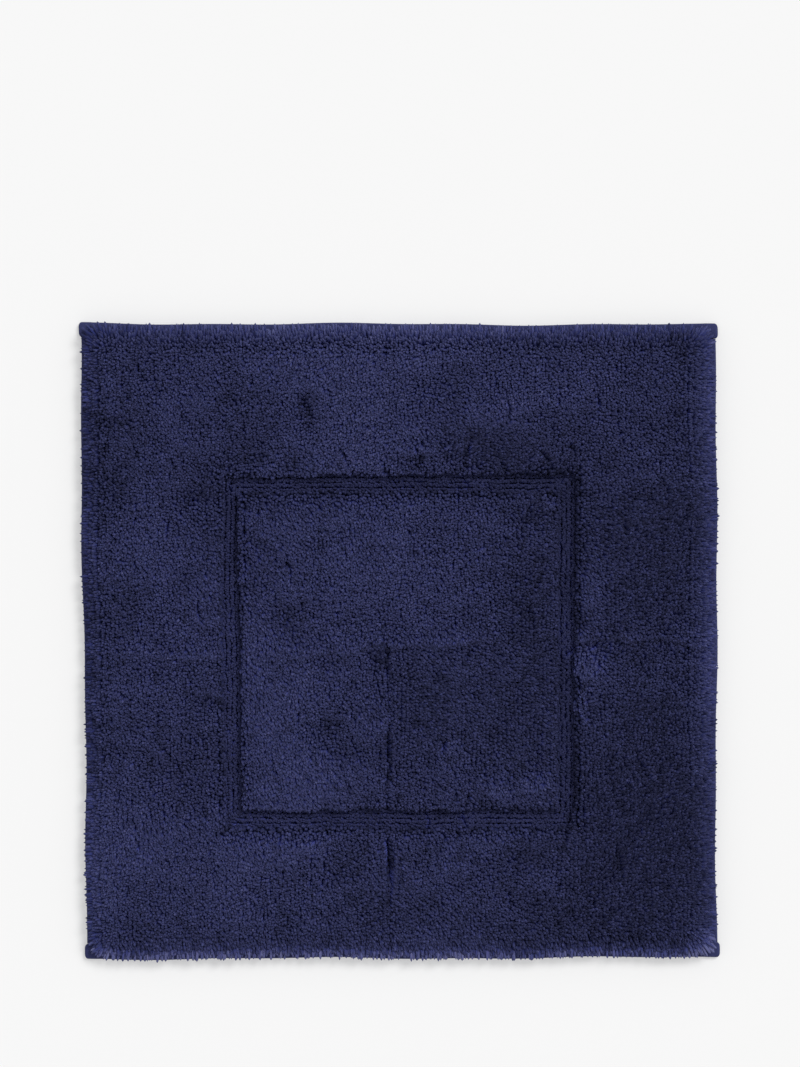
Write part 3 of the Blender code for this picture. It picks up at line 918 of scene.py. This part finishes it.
thread_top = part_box("needle_thread_near")
SEAM_IN = (thread_top[0].y + thread_top[1].y) / 2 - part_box("binding_near")[0].y


def tape_path(wide, high):
    """The middle line of the folded tape cut across: how far in from the edge, and how high.
    It goes from one raw edge, turned in, round the outer fold, to the other."""
    half = TAPE_THICK / 2
    lower_out, lower_in = half, 3 * half + 0.1 * MM
    upper_out, upper_in = high - lower_out, high - lower_in
    nose = wide - half - 0.4 * MM
    fold = (upper_out - lower_out) / 2
    ins = np.linspace(wide - TURNED_IN, nose - 0.3 * MM, 5)
    outs = [nose - 0.3 * MM, *(wide - step * MM for step in (1.9, 2.5, 3.3)), 8 * MM, 5.5 * MM, fold]
    bow = np.radians(np.linspace(90, 270, 11)[1:-1])
    points = [(u, upper_in) for u in ins]
    points.append((nose + 0.1 * MM, (upper_in + upper_out) / 2))
    points += [(u, upper_out) for u in outs]
    points += [(fold * (1 + math.cos(a)), lower_out + fold * (1 + math.sin(a))) for a in bow]
    points += [(u, lower_out) for u in outs[::-1]]
    points.append((nose + 0.1 * MM, (lower_in + lower_out) / 2))
    points += [(u, lower_in) for u in ins[::-1]]
    return np.array(points), len(ins)


def tuck(line, half, to_end, wide, top_side, inner):
    """Changes the tape cut across near a tucked end, which is thicker, filled by the tape that is
    turned in, and rounded at its corner."""
    pad = np.clip((PAD_LENGTH - to_end) / (1.5 * MM), 0, 1)
    crown = np.clip(1 - ((line[:, 0] - 7 * MM) / (7.5 * MM)) ** 2, 0, 1)
    line[:, 1] += np.where(top_side, 1.5 * MM * pad * crown, 0)
    line[:, 0] -= 0.9 * MM * pad * (line[:, 0] < 4 * MM) * crown
    filled = 0.36 * MM * np.clip((PAD_FILLED - to_end) / (0.4 * MM), 0, 1)
    line[inner, 1] += np.where(top_side[inner], -filled, filled)
    half[inner] += filled
    if to_end < PAD_CORNER:
        inset = PAD_CORNER - math.sqrt(PAD_CORNER**2 - (PAD_CORNER - to_end) ** 2)
        line[:, 0] += inset * (1 - 2 * line[:, 0] / wide)
    if to_end < PAD_ROUND:
        round_off = math.sqrt(max(1 - (1 - to_end / PAD_ROUND) ** 2, 0.12))
        centre = np.array([wide / 2, 2.2 * MM])
        line[:] = centre + (line - centre) * [0.86 + 0.14 * round_off, round_off]
        half *= round_off


def binding(side, tucked):
    """One side's folded tape, from end to end."""
    low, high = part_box(f"binding_{side}")
    across_way, along_way = SIDES[side]
    axis = 0 if along_way else 1
    wide = (high - low)[1 - axis]
    sign = 1 if across_way + along_way > 0 else -1
    edge = (high if sign > 0 else low)[1 - axis]
    path, turned = tape_path(wide, high.z)
    stations = np.linspace(low[axis], high[axis], round((high[axis] - low[axis]) / TAPE_STEP))
    if tucked:
        ends = np.array([2.2, 1.1, 0.4, 0.12]) * MM
        stations = np.sort(np.concatenate([stations, low[axis] + ends, high[axis] - ends]))
    points, count = [], len(path)
    top_side = np.arange(count) < count / 2
    inner = (np.arange(count) < turned) | (np.arange(count) >= count - turned)
    for at in stations:
        line = path.copy()
        half = np.full(count, TAPE_THICK / 2)
        half[[0, -1]] *= 0.5
        # the seam draws the tape down between its stitches
        dip = np.exp(-(((line[:, 0] - SEAM_IN) / (1.1 * MM)) ** 2))
        dip *= 0.20 + 0.14 * math.cos(2 * math.pi * at / SEAM_PITCH)
        line[:, 1] += np.where(top_side, -dip, dip) * MM
        swell = 0.10 * math.sin(at * 61) + 0.08 * math.sin(at * 149 + 1)
        line[:, 1] += np.where(top_side, swell, 0) * MM
        stray = 0.25 * math.sin(at * 83 + 2) + 0.15 * math.sin(at * 211)
        line[:, 0] += stray * MM * (line[:, 0] > wide / 2)
        if tucked:
            tuck(line, half, min(at - stations[0], stations[-1] - at), wide, top_side, inner)
        step = np.gradient(line, axis=0)
        step /= np.hypot(*step.T)[:, None]
        normal = np.stack([step[:, 1], -step[:, 0]], 1) * half[:, None]
        ring = np.concatenate([line - normal, (line + normal)[::-1]])
        flat = np.zeros((len(ring), 3))
        flat[:, axis], flat[:, 1 - axis], flat[:, 2] = at, edge - sign * ring[:, 0], ring[:, 1]
        points.append(flat)
    around = 2 * count
    total = len(stations)
    at = np.arange(total * around).reshape(total, around)
    wrapped = np.roll(at, -1, axis=1)
    faces = np.stack([at[:-1], wrapped[:-1], wrapped[1:], at[1:]], -1).reshape(-1, 4)
    caps = []
    for ring, flip in ((at[0], 1), (at[-1], -1)):
        for i in range(count - 1):
            caps.append([ring[i], ring[around - 1 - i], ring[around - 2 - i], ring[i + 1]][::flip])
    faces = np.concatenate([faces, np.array(caps)])
    if (axis == 0) == (sign > 0):  # the rings turn the other way on these sides
        faces = faces[:, ::-1]
    tape = mesh_piece(f"edge_tape_{side}", np.concatenate(points), faces.tolist(), tape_finish)
    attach(tape, BODY)
    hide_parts(f"binding_{side}")


for side in SIDES:
    binding(side, side in ("near", "far"))

# ---------------------------------------------------------------------------------------------
# Seams. A lockstitch runs along each binding, through both walls of the tape and the canvas:
# the needle thread shows on top, under the tufts, and the bobbin thread underneath.
THREAD_COLOUR = (0.036, 0.041, 0.115)
thread_finish, tree = new_finish("sewing_thread", {"Roughness": 0.6, "Specular IOR Level": 0.3})
ply = add(tree, "ShaderNodeTexNoise", {}, {"Scale": 2200, "Detail": 1})
vary(tree, shades(tree, ply, THREAD_COLOUR, 0.7, 1.4), 0.5 + ply * 0.3, ply, 0.1 * MM)
growth, given = new_growth(
    "lockstitch",
    {
        "Pitch": ("Float", SEAM_PITCH),
        "Thread radius": ("Float", 0.25 * MM),
        "Rise": ("Float", 0.2 * MM),
        "Finish": ("Material", None),
    },
)
sockets = {"Vertices": 5, "Side Segments": 4, "Radius": 1, "Depth": 1}
blank = add(growth, "GeometryNodeMeshCylinder", {"fill_type": "TRIANGLE_FAN"}, sockets, "Mesh")
px, py, pz = parts_of(add(growth, "GeometryNodeInputPosition"))
ends = pz * pz * 4
slim = given["Thread radius"] * (1 - ends * ends * 0.45)
arch = px * slim + given["Rise"] * (1 - ends * 2)
place = vector_of(growth, pz * given["Pitch"] * 0.97, py * slim, arch)
shape = add(growth, "GeometryNodeSetPosition", {}, {"Geometry": blank, "Position": place})
line = add(growth, "GeometryNodeMeshToCurve", {}, {"Mesh": given["Geometry"]})
sockets = {"Curve": line, "Length": given["Pitch"]}
spots = add(growth, "GeometryNodeCurveToPoints", {"mode": "LENGTH"}, sockets, "Points")
settings = {"axis": "X", "pivot_axis": "Z"}
sockets = {"Vector": spots.beside("Tangent")}
facing = add(growth, "FunctionNodeAlignRotationToVector", settings, sockets)
sockets = {"Points": spots, "Instance": shape, "Rotation": facing}
sewn = add(growth, "GeometryNodeInstanceOnPoints", {}, sockets)
close_growth(growth, sewn, given["Finish"])
lockstitch = growth

for side in SIDES:
    for thread, rise in (("needle", 0.22 * MM), ("bobbin", -0.12 * MM)):
        low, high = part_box(f"{thread}_thread_{side}")
        middle = (low + high) / 2
        axis = 0 if SIDES[side][1] else 1
        first, last = middle.copy(), middle.copy()
        first[axis], last[axis] = low[axis] + 1.2 * MM, high[axis] - 1.2 * MM
        first.z = last.z = low.z + 0.3 * MM if thread == "needle" else low.z + 0.18 * MM
        seam_line = bpy.data.meshes.new(f"{thread}_line_{side}")
        seam_line.from_pydata([first, last], [(0, 1)], [])
        values = {"Rise": rise, "Finish": thread_finish}
        seam = grown(f"{thread}_stitches_{side}", lockstitch, seam_line, values)
        flat = np.empty(len(seam.data.vertices) * 3)
        seam.data.vertices.foreach_get("co", flat)
        seam.data.vertices.foreach_set("co", lie(flat.reshape(-1, 3)).ravel())
        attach(seam, BODY)
        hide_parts(f"{thread}_thread_{side}")

# ---------------------------------------------------------------------------------------------
# Care label. A blank tab of woven satin lies in a flat place of the coat, one end caught under
# the near binding and the other loose.
SATIN_COLOUR = (0.62, 0.62, 0.60)
satin_finish, tree = new_finish("white_satin", {"Specular IOR Level": 0.5, "Sheen Weight": 0.2})
x_at, y_at, _ = parts_of(add(tree, "ShaderNodeTexCoord", out="Object"))
floats = (x_at * (math.pi / (0.35 * MM))).sin().size()
weft = (y_at * (math.pi / (0.8 * MM))).sin().size()
vary(
    tree,
    shades(tree, floats * 0.6 + weft * 0.4, SATIN_COLOUR, 0.86, 1),
    0.3 + weft * 0.15,
    floats + weft * 0.3,
    0.06 * MM,
)
tab_xs = np.linspace(label_low.x, label_high.x, 31)
tab_ys = np.linspace(label_low.y, label_high.y, 43)
gx, gy = np.meshgrid(tab_xs, tab_ys, indexing="ij")
loose = (gy - label_low.y) / (label_high.y - label_low.y)
wave = (0.07 * np.sin(gx * 260) * loose + 0.05 * np.sin(gy * 330)) * MM
under = label_low.z + 0.07 * MM + wave
over = under + (label_high.z - label_low.z) * 0.8
tab = slab("care_tab", tab_xs, tab_ys, under, over, satin_finish)
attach(tab, BODY)
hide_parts("care_label")

# ---------------------------------------------------------------------------------------------
# The floor and the studio: a plain pale floor, even white light all round, and a broad soft
# light from beyond the right far corner. The camera looks straight down.
FLOOR_COLOUR = (0.56, 0.56, 0.56)
FLOOR_GLOW = 0.355
FLOOR_HALF = 6.0
FLOOR_HEIGHT = -0.4 * MM
SKY_STRENGTH = 0.60
LAMP_STRENGTH = 1.85
LAMP_SPREAD = math.radians(24)
LAMP_FROM = (0.66, 0.68, 1.05)
CAMERA_AT = (0.5 * MM, 101.6 * MM, 3.5)
SUBJECT_HEIGHT = 15 * MM
FRAME_HEIGHT = 1067 / 800 * 0.756  # of the view, at the subject's height
FILM_WIDTH = 36
PAPER = {
    "Base Color": (*FLOOR_COLOUR, 1),
    "Roughness": 0.9,
    "Specular IOR Level": 0.1,
    "Emission Color": (1, 1, 1, 1),
    "Emission Strength": FLOOR_GLOW,
}
floor_finish, _ = new_finish("pale_floor", PAPER)
floor_mesh = bpy.data.meshes.new("studio_floor")
turns = ((-1, -1), (1, -1), (1, 1), (-1, 1))
corners = [(u * FLOOR_HALF, v * FLOOR_HALF, FLOOR_HEIGHT) for u, v in turns]
floor_mesh.from_pydata(corners, [], [(0, 1, 2, 3)])
floor_mesh.materials.append(floor_finish)
floor = link("studio_floor", floor_mesh)

scene = bpy.context.scene
scene.view_settings.view_transform = "Standard"
world = bpy.data.worlds.new("studio")
world.use_nodes = True
scene.world = world
sky = world.node_tree.nodes["Background"]
sky.inputs["Color"].default_value = (1, 1, 1, 1)
sky.inputs["Strength"].default_value = SKY_STRENGTH

soft_box = bpy.data.lights.new("soft_box", "SUN")
soft_box.energy = LAMP_STRENGTH
soft_box.angle = LAMP_SPREAD
lamp = bpy.data.objects.new("soft_box", soft_box)
scene.collection.objects.link(lamp)
lamp.rotation_euler = Vector(LAMP_FROM).to_track_quat("Z", "Y").to_euler()

lens = bpy.data.cameras.new("camera")
lens.sensor_width = FILM_WIDTH
lens.lens = FILM_WIDTH * (CAMERA_AT[2] - SUBJECT_HEIGHT) / FRAME_HEIGHT
lens.clip_end = 20
camera = bpy.data.objects.new("camera", lens)
camera.location = CAMERA_AT
scene.collection.objects.link(camera)
scene.camera = camera
